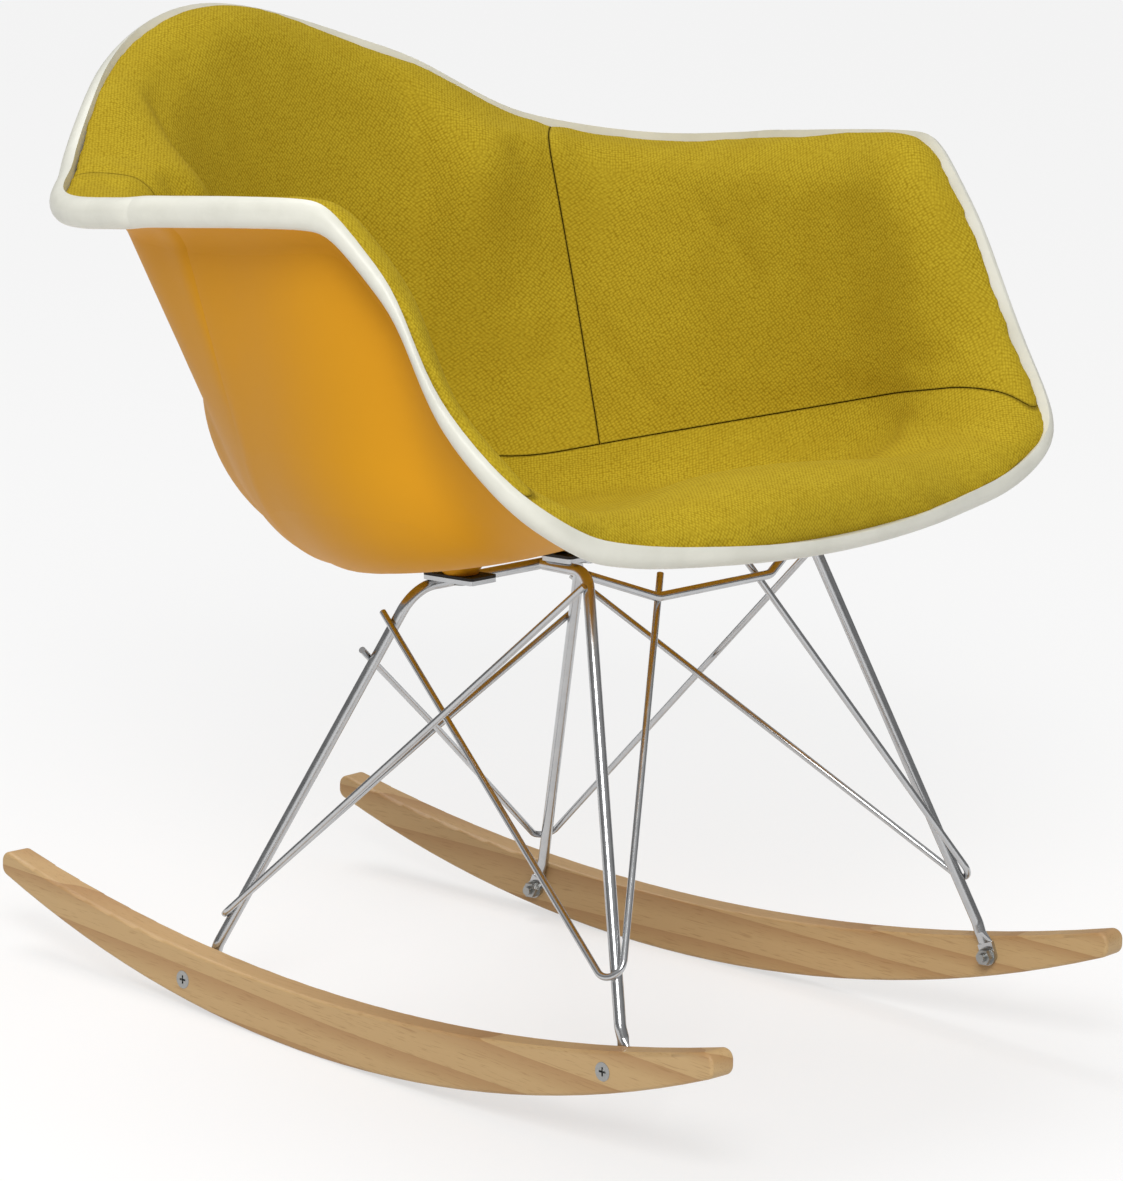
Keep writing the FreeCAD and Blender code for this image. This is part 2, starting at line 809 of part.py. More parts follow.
def rocker_blank(name):
    body = doc.addObject("PartDesign::Body", name)
    plane = [item for item in body.Origin.OriginFeatures if item.Role == "XZ_Plane"][0]
    sketch = body.newObject("Sketcher::SketchObject", name + "Side")
    sketch.AttachmentSupport = [(plane, "")]
    sketch.MapMode = "FlatFace"
    half = size("rocker_length") / 2
    radii = [size("rocker_radius"), size("rocker_top_radius")]
    lows = [0, size("rocker_depth")]
    for radius, low in zip(radii, lows):
        swing = atan2(half, sqrt(radius ** 2 - half ** 2))
        circle = Part.Circle(vec(0, low + radius, 0), up, radius)
        sketch.addGeometry(Part.ArcOfCircle(circle, radians(-90) - swing, radians(-90) + swing))
    ends = [low + radius - sqrt(radius ** 2 - half ** 2) for radius, low in zip(radii, lows)]
    sketch.addGeometry(Part.LineSegment(vec(half, ends[0], 0), vec(half, ends[1], 0)))
    sketch.addGeometry(Part.LineSegment(vec(-half, ends[1], 0), vec(-half, ends[0], 0)))
    sketch.addGeometry(Part.Point(vec(0, lows[1], 0)), True)
    plain = [("Coincident", 0, 2, 2, 1), ("Coincident", 2, 2, 1, 2), ("Coincident", 1, 1, 3, 1),
             ("Coincident", 3, 2, 0, 1), ("Vertical", 2), ("Vertical", 3),
             ("PointOnObject", 0, 3, -2), ("PointOnObject", 1, 3, -2), ("PointOnObject", -1, 1, 0),
             ("PointOnObject", 4, 1, -2), ("PointOnObject", 4, 1, 1)]
    for constraint in plain:
        sketch.addConstraint(Sketcher.Constraint(*constraint))
    named = {
        "lower": (("Radius", 0, radii[0]), "Sizes.rocker_radius"),
        "upper": (("Radius", 1, radii[1]), "Sizes.rocker_top_radius"),
        "depth": (("DistanceY", -1, 1, 4, 1, lows[1]), "Sizes.rocker_depth"),
        "rear": (("DistanceX", -1, 1, 0, 2, half), "Sizes.rocker_length / 2"),
        "front": (("DistanceX", 0, 1, -1, 1, half), "Sizes.rocker_length / 2"),
    }
    for title, (constraint, text) in named.items():
        index = sketch.addConstraint(Sketcher.Constraint(*constraint))
        sketch.renameConstraint(index, title)
        sketch.setExpression(f"Constraints.{title}", text)
    pad = body.newObject("PartDesign::Pad", name + "Pad")
    pad.Profile = sketch
    pad.Midplane = True
    pad.setExpression("Length", "Sizes.rocker_thickness")
    doc.recompute()
    crosswise = []
    for index, edge in enumerate(pad.Shape.Edges, start=1):
        if edge.Curve.TypeId == "Part::GeomLine" and abs(edge.tangentAt(edge.FirstParameter).y) > 0.9:
            crosswise.append(f"Edge{index}")
    tips = body.newObject("PartDesign::Fillet", name + "Tips")
    tips.Base = (pad, crosswise)
    tips.setExpression("Radius", "Sizes.rocker_end_round")
    doc.recompute()
    outline = []
    for index, edge in enumerate(tips.Shape.Edges, start=1):
        reaches = [abs(vertex.Y) for vertex in edge.Vertexes]
        flat = abs(reaches[0] - reaches[-1]) < 0.01 and reaches[0] > size("rocker_thickness") / 2 - 0.01
        if flat and abs(edge.CenterOfMass.y) > size("rocker_thickness") / 2 - 0.01:
            outline.append(f"Edge{index}")
    rounded = body.newObject("PartDesign::Fillet", name + "Edges")
    rounded.Base = (tips, outline)
    rounded.setExpression("Radius", "Sizes.rocker_edge_round")
    return body


def countersunk(name, place):
    # the hole for one bolt, with its countersink at the outer face
    hole = bound("Part::Cylinder", name + "Hole", Height="Sizes.rocker_thickness * 2",
                 Radius="Sizes.bolt_size / 2 + Sizes.bolt_clearance")
    sink = bound("Part::Cone", name + "Sink",
                 Radius1="Sizes.bolt_size / 2 + Sizes.bolt_clearance",
                 Radius2="Sizes.bolt_head / 2 + Sizes.bolt_clearance",
                 Height="(Sizes.bolt_head - Sizes.bolt_size) / 2")
    # the drill sticks out of both faces evenly
    start = vec(0, 0, -1.5 * size("rocker_thickness"))
    hole.Placement = place.multiply(FreeCAD.Placement(start, FreeCAD.Rotation()))
    start = vec(0, 0, -(size("bolt_head") - size("bolt_size")) / 2)
    sink.Placement = place.multiply(FreeCAD.Placement(start, FreeCAD.Rotation()))
    return [hole, sink]


bolt_ends = ("rear", "front")
for name, side in sides.items():
    blank = rocker_blank(f"{name.title()}Blank")
    blank.Placement = rocker_place(side)
    cutters = []
    for end in bolt_ends:
        cutters += countersunk(f"{name.title()}{end.title()}", bolt_place(side, end))
    tool = doc.addObject("Part::MultiFuse", f"{name.title()}Drill")
    tool.Shapes = cutters
    rocker = joined("Part::Cut", f"{name}_rocker", blank, tool)
    rocker.Label = f"{name}_rocker"
doc.recompute()

bolt_places = [bolt_place(side, end) for side in sides.values() for end in bolt_ends]
grip = "Sizes.rocker_thickness + Sizes.foot_thickness"

bolt_shank = bound("Part::Cylinder", "BoltShank", Radius="Sizes.bolt_size / 2", Height="Sizes.bolt_length")
lowered(bolt_shank, "-Sizes.bolt_length")
bolt_cone = bound("Part::Cone", "BoltCone", Radius1="Sizes.bolt_size / 2", Radius2="Sizes.bolt_head / 2",
                  Height="(Sizes.bolt_head - Sizes.bolt_size) / 2")
lowered(bolt_cone, "-(Sizes.bolt_head - Sizes.bolt_size) / 2")
bolt_blank = joined("Part::Fuse", "BoltBlank", bolt_shank, bolt_cone)
slots = []
for title, sizes_of_slot in (("Long", ("recess_length", "recess_width")),
                             ("Cross", ("recess_width", "recess_length"))):
    slot = bound("Part::Box", f"Recess{title}", Length=f"Sizes.{sizes_of_slot[0]}",
                 Width=f"Sizes.{sizes_of_slot[1]}", Height="Sizes.recess_depth")
    slot.setExpression(".Placement.Base.x", f"-Sizes.{sizes_of_slot[0]} / 2")
    slot.setExpression(".Placement.Base.y", f"-Sizes.{sizes_of_slot[1]} / 2")
    slots.append(lowered(slot, "-Sizes.recess_depth"))
bolt = joined("Part::Cut", "Bolt", bolt_blank, joined("Part::Fuse", "Recess", *slots))
copies("rocker_screws", bolt, bolt_places)

washer_disc = bound("Part::Cylinder", "WasherDisc", Radius="Sizes.washer_size / 2",
                    Height="Sizes.washer_thickness")
lowered(washer_disc, f"-{grip.replace(' + ', ' - ')} - Sizes.washer_thickness")
nut_prism = bound("Part::Prism", "NutPrism", Circumradius="Sizes.nut_size / sqrt(3)",
                  Height="Sizes.nut_height")
lowered(nut_prism, f"-{grip.replace(' + ', ' - ')} - Sizes.washer_thickness - Sizes.nut_height")
for label, blank in (("rocker_washers", washer_disc), ("rocker_nuts", nut_prism)):
    bore = bound("Part::Cylinder", f"{label}_bore", Radius="Sizes.bolt_size / 2 + Sizes.thread_clearance",
                 Height="Sizes.bolt_length")
    lowered(bore, "-Sizes.bolt_length")
    copies(label, joined("Part::Cut", f"{label}_piece", blank, bore), bolt_places)


# Wires of the base

def bent_path(points, radii):
    # straight runs joined by arcs; also gives the middle of each arc
    edges = []
    bend_middles = []
    start = points[0]
    for before, corner, after, radius in zip(points, points[1:], points[2:], radii):
        back = unit(before - corner)
        ahead = unit(after - corner)
        half = back.getAngle(ahead) / 2
        reach = radius / tan(half)
        middle = corner + unit(back + ahead) * (radius / sin(half) - radius)
        edges.append(Part.LineSegment(start, corner + back * reach).toShape())
        edges.append(Part.Arc(corner + back * reach, middle, corner + ahead * reach).toShape())
        start = corner + ahead * reach
        bend_middles.append(middle)
    edges.append(Part.LineSegment(start, points[-1]).toShape())
    return Part.Wire(edges), bend_middles


def rod(path, diameter):
    first = path.Edges[0]
    start = first.valueAt(first.FirstParameter)
    way = first.tangentAt(first.FirstParameter)
    return path.makePipeShell([Part.Wire(Part.makeCircle(diameter / 2, start, way))], True, True)


def foot_place(side, end):
    # on the rocker's inner face at the bolt, with Y along the leg's foot
    spot = bolt_place(side, end)
    outward = spot.Rotation.multVec(up)
    origin = spot.Base - outward * size("rocker_thickness")
    backwards = up.cross(outward) * side
    lean = radians(size(f"{end}_foot_lean")) * (-1 if end == "rear" else 1)
    return framed(origin, outward, up * cos(lean) + backwards * sin(lean))


def foot_start(side, end):
    # where the round wire begins, and the foot's bend
    spot = foot_place(side, end)
    start = size("foot_flat") + size("foot_ease")
    return (spot.multVec(vec(0, start, -leg_radius)),
            spot.multVec(vec(0, size("foot_rise"), -leg_radius)))


def foot(side, end):
    # the flattened end: a round-ended paddle that swells back to the round wire
    thick = size("foot_thickness")
    half = size("foot_width") / 2
    paddle = Part.makeCylinder(half, thick, vec(0, 0, -thick))
    paddle = paddle.fuse(Part.makeBox(2 * half, size("foot_flat"), thick, vec(-half, 0, -thick)))
    paddle = paddle.cut(Part.makeCylinder(size("bolt_size") / 2 + size("bolt_clearance"), thick,
                                          vec(0, 0, -thick)))
    across = FreeCAD.Rotation(vec(1, 0, 0), 90)
    flat = Part.Wire(Part.Ellipse(vec(0, 0, 0), half, thick / 2).toShape())
    flat.Placement = FreeCAD.Placement(vec(0, size("foot_flat"), -thick / 2), across)
    full = Part.Wire(Part.makeCircle(leg_radius))
    full.Placement = FreeCAD.Placement(vec(0, size("foot_flat") + size("foot_ease"), -leg_radius), across)
    paddle = paddle.fuse(Part.makeLoft([flat, full], True, True))
    paddle.Placement = foot_place(side, end)
    return paddle


def rear_corner(side):
    return vec(side * size("rear_corner_x"), size("rear_bar_y"), rear_bar_z)


def front_corner(side):
    return vec(side * size("front_corner_x"), size("front_corner_y"), front_run_z)


def front_run(side):
    return vec(side * run_way.x, run_way.y, 0)


left, right = sides["left"], sides["right"]
start, bend = foot_start(left, "rear")
far_start, far_bend = foot_start(right, "rear")
rear_points = [start, bend, rear_corner(left), rear_corner(right), far_bend, far_start]
rear_radii = [size("foot_bend"), size("rear_corner_bend"), size("rear_corner_bend"), size("foot_bend")]
rear_path = bent_path(rear_points, rear_radii)[0]
rear_frame = rod(rear_path, size("leg_wire")).fuse([foot(left, "rear"), foot(right, "rear")])
feature("rear_frame", rear_frame)

front_tops = {}
for name, side in sides.items():
    start, bend = foot_start(side, "front")
    corner = front_corner(side)
    points = [start, bend, corner, corner + front_run(side) * size("front_run")]
    path, middles = bent_path(points, [size("foot_bend"), size("front_corner_bend")])
    front_tops[side] = middles[1]
    feature(f"{name}_front_leg", rod(path, size("leg_wire")).fuse(foot(side, "front")))

butt = leg_radius - size("butt_sink")
dip_z = front_run_z - size("dip_drop")
dips = {side: vec(side * size("dip_half_width"), size("dip_y"), dip_z) for side in sides.values()}
cross_points = [front_tops[left] - vec(butt, 0, 0), dips[left], dips[right],
                front_tops[right] + vec(butt, 0, 0)]
cross_path = bent_path(cross_points, [size("dip_bend")] * 2)[0]
feature("front_cross_wire", rod(cross_path, size("cross_wire")))


# Thin braces: each is a V whose bend lies against one leg, and whose arms lie against two other wires

def leg_line(side, end):
    # the leg between its foot and its top: a point and its direction
    bend = foot_start(side, end)[1]
    corner = rear_corner(side) if end == "rear" else front_corner(side)
    return bend, unit(corner - bend)


def at_height(line, height):
    point, way = line
    return point + way * ((height - point.z) / way.z)


def beside(point, along, other, towards, gap):
    # moves a point off the wire that runs along it, square to both wires
    normal = unit(along.cross(other))
    if normal.dot(towards) < 0:
        normal = normal * -1
    return point + normal * gap


brace_gap = (size("leg_wire") + size("brace_wire")) / 2 - size("weld_sink")
dip_gap = (size("cross_wire") + size("brace_wire")) / 2 - size("weld_sink")
crossing_gap = (size("brace_wire") - size("weld_sink")) / 2


def brace(carrier, foot_height, foot_side, arms, crossing=None):
    # arms: two of (point, direction of the wire there, side to lie on, gap, run past it)
    lower = at_height(carrier, foot_height)
    corner = lower
    ends = [arm[0] for arm in arms]
    middle = None
    for _ in range(20):
        targets = list(ends)
        if crossing is not None:
            shared = corner + (ends[1] - corner) * (corner.x / (corner.x - ends[1].x))
            middle = vec(0, shared.y + crossing, shared.z)
            targets[1] = middle
        ways = [unit(target - corner) for target in targets]
        lasts = [unit(ends[0] - corner), unit(ends[1] - (middle if middle else corner))]
        ends = [beside(point, along, last, towards, gap)
                for (point, along, towards, gap, past), last in zip(arms, lasts)]
        apex = beside(lower, carrier[1], ways[0] - ways[1], foot_side, brace_gap)
        half = ways[0].getAngle(ways[1]) / 2
        corner = apex - unit(ways[0] + ways[1]) * size("brace_bend") * (1 / sin(half) - 1)
    first = ends[0] + lasts[0] * arms[0][4]
    last = ends[1] + lasts[1] * arms[1][4]
    points = [first, corner, last]
    radii = [size("brace_bend")]
    if middle:
        points = [first, corner, middle, last]
        radii = [size("brace_bend"), size("crossing_bend")]
    return rod(bent_path(points, radii)[0], size("brace_wire"))


for name, side in sides.items():
    rear_leg = leg_line(side, "rear")
    front_leg = leg_line(side, "front")
    other_rear = leg_line(-side, "rear")
    back = (at_height(rear_leg, size("front_brace_back")), rear_leg[1], vec(side, 0, 0), brace_gap,
            size("front_brace_back_end"))
    dip = (dips[side] - vec(side * size("front_brace_dip"), 0, 0), vec(1, 0, 0), vec(0, 1, 0), dip_gap,
           size("front_brace_dip_end"))
    feature(f"{name}_front_brace", brace(front_leg, size("front_brace_foot"), vec(side, -1, 0), [back, dip]))
    top = (at_height(front_leg, size("rear_brace_front")), front_leg[1], vec(0, 1, 0), brace_gap,
           size("rear_brace_front_end"))
    far = (at_height(other_rear, size("rear_brace_back")), other_rear[1], vec(0, 1, 0), brace_gap,
           size("rear_brace_back_end"))
    feature(f"{name}_rear_brace", brace(rear_leg, size("rear_brace_foot"), vec(side, 1, 0), [top, far],
                                        -side * crossing_gap))


# Checks, then one file for each piece

nodes = ["seat_shell", "seat_pad", "back_pad", "left_arm_pad", "right_arm_pad", "edge_trim",
         "threaded_inserts", "spacer_pads", "mount_plates", "mount_screws",
         "rear_frame", "left_front_leg", "right_front_leg", "front_cross_wire",
         "left_front_brace", "right_front_brace", "left_rear_brace", "right_rear_brace",
         "left_rocker", "right_rocker", "rocker_screws", "rocker_washers", "rocker_nuts"]
doc.recompute()

# The pieces above stand as if the rockers touched the floor under the front of the seat. Rolling
# back by the resting lean turns them about the middle of the rockers' curve.
roll_middle = vec(0, size("rocker_middle") - size("rocker_radius") * sin(radians(size("rocker_pitch"))),
                  size("rocker_radius"))
leaned = FreeCAD.Placement(vec(0, 0, 0), FreeCAD.Rotation(vec(1, 0, 0), -size("rest_lean")), roll_middle)


def move_all(placement):
    for node in nodes:
        made = doc.getObjectsByLabel(node)[0]
        made.Placement = placement.multiply(made.Placement)
    doc.recompute()


# then the rockers and the rim, which reach furthest, are centred over the origin
move_all(leaned)
outer = [doc.getObjectsByLabel(node)[0].Shape.optimalBoundingBox()
         for node in ("left_rocker", "right_rocker", "edge_trim")]
front = min(box.YMin for box in outer)
rear = max(box.YMax for box in outer)
floor_level = min(box.ZMin for box in outer)
print(f"moved by y {-(front + rear) / 2:.2f}, z {-floor_level:.2f}; depth {rear - front:.1f}")
move_all(FreeCAD.Placement(vec(0, -(front + rear) / 2, -floor_level), FreeCAD.Rotation()))
for made in doc.Objects:
    if "Invalid" in made.State or "Error" in made.State:
        raise RuntimeError(f"{made.Label} failed: {made.State}")
os.makedirs("parts", exist_ok=True)
for node in nodes:
    shape = doc.getObjectsByLabel(node)[0].Shape
    if shape.isNull() or not shape.isValid():
        raise RuntimeError(f"{node} has no valid shape")
    solids = len(shape.Solids)
    box = shape.BoundBox
    print(f"{node}: {solids} solids, {shape.Volume:.0f} mm3, x {box.XMin:.1f} to {box.XMax:.1f}, "
          f"y {box.YMin:.1f} to {box.YMax:.1f}, z {box.ZMin:.1f} to {box.ZMax:.1f}")
    shape.exportStep(f"parts/{node}.step")
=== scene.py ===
import bpy, bmesh
from math import cos, radians, sin
from mathutils import Euler, Matrix, Vector
from mathutils.bvhtree import BVHTree


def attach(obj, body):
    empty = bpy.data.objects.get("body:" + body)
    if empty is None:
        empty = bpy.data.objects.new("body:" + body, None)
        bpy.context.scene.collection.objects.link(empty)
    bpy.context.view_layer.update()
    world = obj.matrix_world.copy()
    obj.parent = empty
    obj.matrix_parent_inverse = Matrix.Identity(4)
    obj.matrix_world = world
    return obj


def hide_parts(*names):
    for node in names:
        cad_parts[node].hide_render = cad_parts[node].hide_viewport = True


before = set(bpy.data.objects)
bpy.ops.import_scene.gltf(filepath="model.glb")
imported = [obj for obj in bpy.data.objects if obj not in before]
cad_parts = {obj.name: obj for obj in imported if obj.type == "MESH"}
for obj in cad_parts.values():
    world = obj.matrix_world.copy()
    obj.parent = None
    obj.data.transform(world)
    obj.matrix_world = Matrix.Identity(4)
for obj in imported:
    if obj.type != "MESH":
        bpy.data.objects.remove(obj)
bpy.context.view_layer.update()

print("frame loaded")

# the photograph shows the chair rocked forward; the solids stand leaned back at rest,
# so the camera that was worked out from the photograph is leaned with them
rocked = {"lean": 3.87, "rollMiddle": (0, -0.0225, 0.9508), "shift": (0, 0.05157, 0)}
rollMiddle = Vector(rocked["rollMiddle"])
atRest = (Matrix.Translation(Vector(rocked["shift"])) @ Matrix.Translation(rollMiddle)
          @ Matrix.Rotation(-radians(rocked["lean"]), 4, "X") @ Matrix.Translation(-rollMiddle))


def deselectAll():
    for thing in bpy.context.selected_objects:
        thing.select_set(False)


def makeActive(piece):
    deselectAll()
    piece.select_set(True)
    bpy.context.view_layer.objects.active = piece


def applyModifier(piece, kind, **settings):
    modifier = piece.modifiers.new(kind.title(), kind)
    for name, value in settings.items():
        setattr(modifier, name, value)
    makeActive(piece)
    bpy.ops.object.modifier_apply(modifier=modifier.name)


def copyNode(node, name):
    piece = bpy.data.objects.new(name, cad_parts[node].data.copy())
    bpy.context.scene.collection.objects.link(piece)
    makeActive(piece)
    bpy.ops.object.mode_set(mode="EDIT")
    bpy.ops.mesh.select_all(action="SELECT")
    bpy.ops.mesh.remove_doubles(threshold=0.00002)
    bpy.ops.object.mode_set(mode="OBJECT")
    piece.data.materials.clear()
    return piece


# Materials

def linear(hexColour):
    values = [int(hexColour[place:place + 2], 16) / 255 for place in (1, 3, 5)]
    return tuple(v / 12.92 if v <= 0.04045 else ((v + 0.055) / 1.055) ** 2.4 for v in values) + (1,)


def addNode(tree, kind, settings=None, links=None):
    # settings name an input or a property; links give an input its source socket
    node = tree.nodes.new(kind)
    for name, value in (settings or {}).items():
        if isinstance(name, int) or name in node.inputs:
            node.inputs[name].default_value = value
        else:
            setattr(node, name, value)
    for name, source in (links or {}).items():
        tree.links.new(source, node.inputs[name])
    return node


def newMaterial(name):
    # its shader, and the place on the piece that its patterns follow
    material = bpy.data.materials.new(name)
    material.use_nodes = True
    tree = material.node_tree
    tree.nodes.clear()
    shader = addNode(tree, "ShaderNodeBsdfPrincipled")
    addNode(tree, "ShaderNodeOutputMaterial", links={"Surface": shader.outputs[0]})
    return material, tree, shader, addNode(tree, "ShaderNodeTexCoord").outputs["Object"]


# In the values below, a pattern's scale counts its repeats to the metre, and relief is in metres

# wool basket weave: matt, its crossings read as small uneven humps, yarn to yarn a little lighter or darker;
# the gaps between the crossings are painted shade and their tops painted light, and the cloth is darker
# along its sewn seams, painted shade in the seam creases. The crossings are in mm and drawn a little
# coarser than real ones, to show in the render; the grid is laid square to whichever axis the cloth faces
weave = {"crossing": 2.1, "uneven": 0.35, "gap": 0.75, "top": 0.05, "streak": 650, "stretch": 0.12,
         "streakShare": 0.4, "low": 0.35, "high": 1.3, "gapShade": "#93790f", "lit": "#c9b130",
         "patch": "#b89d26", "patches": 35, "relief": 0.0005, "seamShade": "#4d3b05",
         "seamCore": 0.0003, "seamWidth": 0.0014, "sheen": "#cfae3a"}


def woolBasketWeave():
    material, tree, shader, place = newMaterial("woolBasketWeave")
    facing = addNode(tree, "ShaderNodeAttribute", {"attribute_name": "facing"}).outputs["Vector"]
    sewn = addNode(tree, "ShaderNodeAttribute", {"attribute_name": "sewn"}).outputs["Fac"]
    grids = []
    for turn in ((0, 90, 45), (90, 0, 45), (0, 0, 45)):
        turned = addNode(tree, "ShaderNodeMapping", {"Rotation": [radians(part) for part in turn]},
                         {"Vector": place})
        crossings = addNode(tree, "ShaderNodeTexVoronoi", {"voronoi_dimensions": "2D",
                                                           "Scale": 1000 / weave["crossing"],
                                                           "Randomness": weave["uneven"]},
                            {"Vector": turned.outputs[0]})
        grids.append(crossings.outputs["Distance"])
    gathered = addNode(tree, "ShaderNodeCombineXYZ", links=dict(enumerate(grids)))
    distance = addNode(tree, "ShaderNodeVectorMath", {"operation": "DOT_PRODUCT"},
                       {0: gathered.outputs[0], 1: facing})
    hump = addNode(tree, "ShaderNodeMapRange", {"From Min": weave["gap"], "From Max": weave["top"]},
                   {0: distance.outputs["Value"]})
    yarns = []
    for stretch in ((1, weave["stretch"], 1), (weave["stretch"], 1, 1)):
        run = addNode(tree, "ShaderNodeMapping", {"Scale": stretch}, {"Vector": place})
        yarn = addNode(tree, "ShaderNodeTexNoise", {"Scale": weave["streak"], "Detail": 1},
                       {"Vector": run.outputs[0]})
        yarns.append(yarn.outputs["Fac"])
    streaks = addNode(tree, "ShaderNodeMath", {"operation": "ADD"}, {0: yarns[0], 1: yarns[1]})
    height = addNode(tree, "ShaderNodeMath", {"operation": "MULTIPLY_ADD", 1: weave["streakShare"]},
                     {0: streaks.outputs[0], 2: hump.outputs[0]})
    # painted shade and light: the gaps between crossings are darkened as painted shade and the crossing tops
    # lightened as painted light; the yarn streaks add real tone
    shade = addNode(tree, "ShaderNodeMapRange", {"From Min": weave["low"], "From Max": weave["high"]},
                    {0: height.outputs[0]})
    cloud = addNode(tree, "ShaderNodeTexNoise", {"Scale": weave["patches"], "Detail": 3}, {"Vector": place})
    bright = addNode(tree, "ShaderNodeMix", {"data_type": "RGBA", 6: linear(weave["lit"]),
                                             7: linear(weave["patch"])}, {0: cloud.outputs["Fac"]})
    yarnToneAndShade = addNode(tree, "ShaderNodeMix", {"data_type": "RGBA", 6: linear(weave["gapShade"])},
                         {0: shade.outputs[0], 7: bright.outputs[2]})
    # painted shade: the cloth is darkened along the seam creases
    seam = addNode(tree, "ShaderNodeMapRange", {"From Min": weave["seamCore"], "From Max": weave["seamWidth"],
                                                "To Min": 0.6, "To Max": 0}, {0: sewn})
    colour = addNode(tree, "ShaderNodeMix", {"data_type": "RGBA", 7: linear(weave["seamShade"])},
                     {0: seam.outputs[0], 6: yarnToneAndShade.outputs[2]})
    tree.links.new(colour.outputs[2], shader.inputs["Base Color"])
    bump = addNode(tree, "ShaderNodeBump", {"Strength": 0.5, "Distance": weave["relief"]},
                   {"Height": height.outputs[0]})
    tree.links.new(bump.outputs[0], shader.inputs["Normal"])
    shader.inputs["Roughness"].default_value = 0.92
    shader.inputs["IOR"].default_value = 1.45
    shader.inputs["Specular IOR Level"].default_value = 0.1
    shader.inputs["Sheen Weight"].default_value = 0.06
    shader.inputs["Sheen Roughness"].default_value = 0.5
    shader.inputs["Sheen Tint"].default_value = linear(weave["sheen"])
    return material


# moulded shell plastic: even satin, with the faint orange peel and flow shades of the mould
shellFinish = {"colour": "#d9981b", "shade": "#cf9019", "flow": 6, "peel": 700, "relief": 0.0002,
               "smooth": 0.44, "rough": 0.54}


def mouldedShellPlastic():
    material, tree, shader, place = newMaterial("mouldedShellPlastic")
    flow = addNode(tree, "ShaderNodeTexNoise", {"Scale": shellFinish["flow"], "Detail": 3}, {"Vector": place})
    colour = addNode(tree, "ShaderNodeMix", {"data_type": "RGBA", 6: linear(shellFinish["shade"]),
                                             7: linear(shellFinish["colour"])}, {0: flow.outputs["Fac"]})
    tree.links.new(colour.outputs[2], shader.inputs["Base Color"])
    peel = addNode(tree, "ShaderNodeTexNoise", {"Scale": shellFinish["peel"], "Detail": 2}, {"Vector": place})
    bump = addNode(tree, "ShaderNodeBump", {"Strength": 0.12, "Distance": shellFinish["relief"]},
                   {"Height": peel.outputs["Fac"]})
    tree.links.new(bump.outputs[0], shader.inputs["Normal"])
    gloss = addNode(tree, "ShaderNodeMapRange", {"To Min": shellFinish["smooth"],
                                                 "To Max": shellFinish["rough"]}, {0: flow.outputs["Fac"]})
    tree.links.new(gloss.outputs[0], shader.inputs["Roughness"])
    shader.inputs["IOR"].default_value = 1.5
    shader.inputs["Specular IOR Level"].default_value = 0.12
    return material


# extruded vinyl edging: cream, soft sheen, finely grained, a little grey where hands have touched it
edgeFinish = {"colour": "#e2e1d5", "worn": "#d6d5c8", "wear": 22, "clean": 0.42, "dull": 0.75,
              "grain": 900, "relief": 0.0002, "rough": 0.42}


def extrudedVinyl():
    material, tree, shader, place = newMaterial("extrudedVinyl")
    worn = addNode(tree, "ShaderNodeTexNoise", {"Scale": edgeFinish["wear"], "Detail": 4, "Roughness": 0.6},
                   {"Vector": place})
    share = addNode(tree, "ShaderNodeMapRange", {"From Min": edgeFinish["clean"],
                                                 "From Max": edgeFinish["dull"]}, {0: worn.outputs["Fac"]})
    colour = addNode(tree, "ShaderNodeMix", {"data_type": "RGBA", 6: linear(edgeFinish["colour"]),
                                             7: linear(edgeFinish["worn"])}, {0: share.outputs[0]})
    tree.links.new(colour.outputs[2], shader.inputs["Base Color"])
    grain = addNode(tree, "ShaderNodeTexVoronoi", {"Scale": edgeFinish["grain"]}, {"Vector": place})
    bump = addNode(tree, "ShaderNodeBump", {"Strength": 0.08, "Distance": edgeFinish["relief"]},
                   {"Height": grain.outputs["Distance"]})
    tree.links.new(bump.outputs[0], shader.inputs["Normal"])
    shader.inputs["Roughness"].default_value = edgeFinish["rough"]
    shader.inputs["IOR"].default_value = 1.52
    return material


# chromed steel wire: satin, faint cloudy changes of gloss break up the reflection
wireFinish = {"dark": "#b3b4b6", "pale": "#c9cacb", "cloud": 90, "smooth": 0.14, "rough": 0.3}


def satinChrome():
    material, tree, shader, place = newMaterial("satinChrome")
    blotch = addNode(tree, "ShaderNodeTexNoise", {"Scale": wireFinish["cloud"], "Detail": 4},
                     {"Vector": place})
    gloss = addNode(tree, "ShaderNodeMapRange", {"To Min": wireFinish["smooth"],
                                                 "To Max": wireFinish["rough"]}, {0: blotch.outputs["Fac"]})
    tree.links.new(gloss.outputs[0], shader.inputs["Roughness"])
    tint = addNode(tree, "ShaderNodeMix", {"data_type": "RGBA", 6: linear(wireFinish["dark"]),
                                           7: linear(wireFinish["pale"])}, {0: blotch.outputs["Fac"]})
    tree.links.new(tint.outputs[2], shader.inputs["Base Color"])
    shader.inputs["Metallic"].default_value = 1
    return material


# zinc-plated fasteners: greyer and duller than the chrome, with a fine spangle
zincFinish = {"dark": "#8f908f", "pale": "#b4b5b3", "spangle": 500, "smooth": 0.28, "rough": 0.45}


def zincPlate():
    material, tree, shader, place = newMaterial("zincPlate")
    spangle = addNode(tree, "ShaderNodeTexNoise", {"Scale": zincFinish["spangle"], "Detail": 3},
                      {"Vector": place})
    tint = addNode(tree, "ShaderNodeMix", {"data_type": "RGBA", 6: linear(zincFinish["dark"]),
                                           7: linear(zincFinish["pale"])}, {0: spangle.outputs["Fac"]})
    tree.links.new(tint.outputs[2], shader.inputs["Base Color"])
    gloss = addNode(tree, "ShaderNodeMapRange", {"To Min": zincFinish["smooth"],
                                                 "To Max": zincFinish["rough"]}, {0: spangle.outputs["Fac"]})
    tree.links.new(gloss.outputs[0], shader.inputs["Roughness"])
    shader.inputs["Metallic"].default_value = 1
    return material


